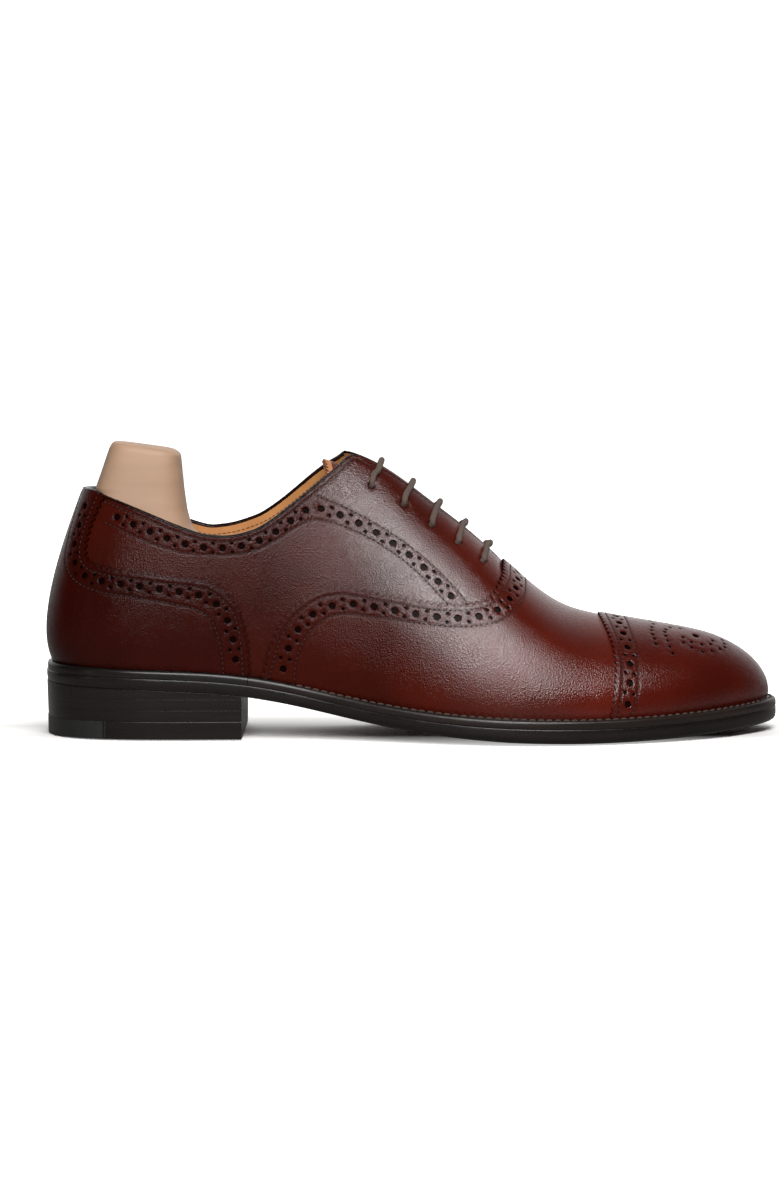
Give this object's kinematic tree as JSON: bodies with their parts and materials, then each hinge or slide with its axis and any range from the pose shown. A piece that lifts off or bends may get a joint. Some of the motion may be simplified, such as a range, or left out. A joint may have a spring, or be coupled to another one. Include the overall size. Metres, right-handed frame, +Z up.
{
  "type": "leather oxford shoe",
  "caption": "Closed-laced leather dress shoe with brogued seams, toe cap, stacked heel and stitched welt, held in shape by a hinged wooden shoe tree.",
  "frame": {"origin": "centre of the heel's bottom face, on the ground", "axes": "+X from heel to toe, +Y to the inner (medial) side of this right shoe, +Z up"},
  "size_m": [0.2999, 0.1019, 0.1184],
  "materials": {
    "toe_cap": "polished calf",
    "vamp": "polished calf",
    "quarter_lateral": "polished calf",
    "quarter_medial": "polished calf",
    "counter_cover": "polished calf",
    "topline_binding": "folded calf edge",
    "tongue": "pinked calf",
    "eyelet_tape_lateral": "woven tape",
    "eyelet_tape_medial": "woven tape",
    "vamp_interlining": "cotton drill",
    "toe_puff": "stiffened",
    "heel_stiffener": "stiffened",
    "vamp_lining": "matt lining",
    "quarter_lining_lateral": "matt lining",
    "quarter_lining_medial": "matt lining",
    "lace": "waxed cotton",
    "insole": "veg tanned",
    "sock_lining": "matt lining",
    "insole_rib": "canvas rib",
    "cork_filler": "granulated cork",
    "shank": "spring steel",
    "welt": "inked edge",
    "heel_rand": "inked edge",
    "outsole": "inked edge",
    "heel_seat_lift": "inked edge",
    "heel_lower_lifts": "inked edge",
    "top_piece": "inked edge",
    "rubber_tip": "matt",
    "heel_nails": "plain",
    "tree_forepart": "sanded beech",
    "tree_hinge_fork": "plain",
    "tree_hinge_pin": "plain",
    "tree_heel_block": "sanded beech",
    "tree_hinge_leaf": "plain"
  },
  "bodies": {
    "shoe": {"toe_cap": "toe_cap", "vamp": "vamp", "quarter_lateral": "quarter_lateral", "quarter_medial": "quarter_medial", "counter_cover": "counter_cover", "topline_binding": "topline_binding", "eyelet_tape_lateral": "eyelet_tape_lateral", "eyelet_tape_medial": "eyelet_tape_medial", "vamp_interlining": "vamp_interlining", "toe_puff": "toe_puff", "heel_stiffener": "heel_stiffener", "vamp_lining": "vamp_lining", "quarter_lining_lateral": "quarter_lining_lateral", "quarter_lining_medial": "quarter_lining_medial", "lace": "lace", "insole": "insole", "sock_lining": "sock_lining", "insole_rib": "insole_rib", "cork_filler": "cork_filler", "shank": "shank", "welt": "welt", "heel_rand": "heel_rand", "outsole": "outsole", "heel_seat_lift": "heel_seat_lift", "heel_lower_lifts": "heel_lower_lifts", "top_piece": "top_piece", "rubber_tip": "rubber_tip", "heel_nails": "heel_nails", "tree_forepart": "tree_forepart", "tree_hinge_fork": "tree_hinge_fork", "tree_hinge_pin": "tree_hinge_pin"},
    "tongue": {"tongue": "tongue"},
    "heel_block": {"tree_heel_block": "tree_heel_block", "tree_hinge_leaf": "tree_hinge_leaf"}
  },
  "joints": [
    {"name": "tree_heel_lift", "type": "hinge", "parent": "shoe", "child": "heel_block", "pos_m": [0.0535, 0, 0.058], "axis": [0, 1, 0], "range_deg": [0, 40]},
    {"name": "tongue_press", "type": "hinge", "parent": "shoe", "child": "tongue", "pos_m": [0.1516, 0, 0.062], "axis": [0, 1, 0], "range_deg": [-10, 0]}
  ]
}
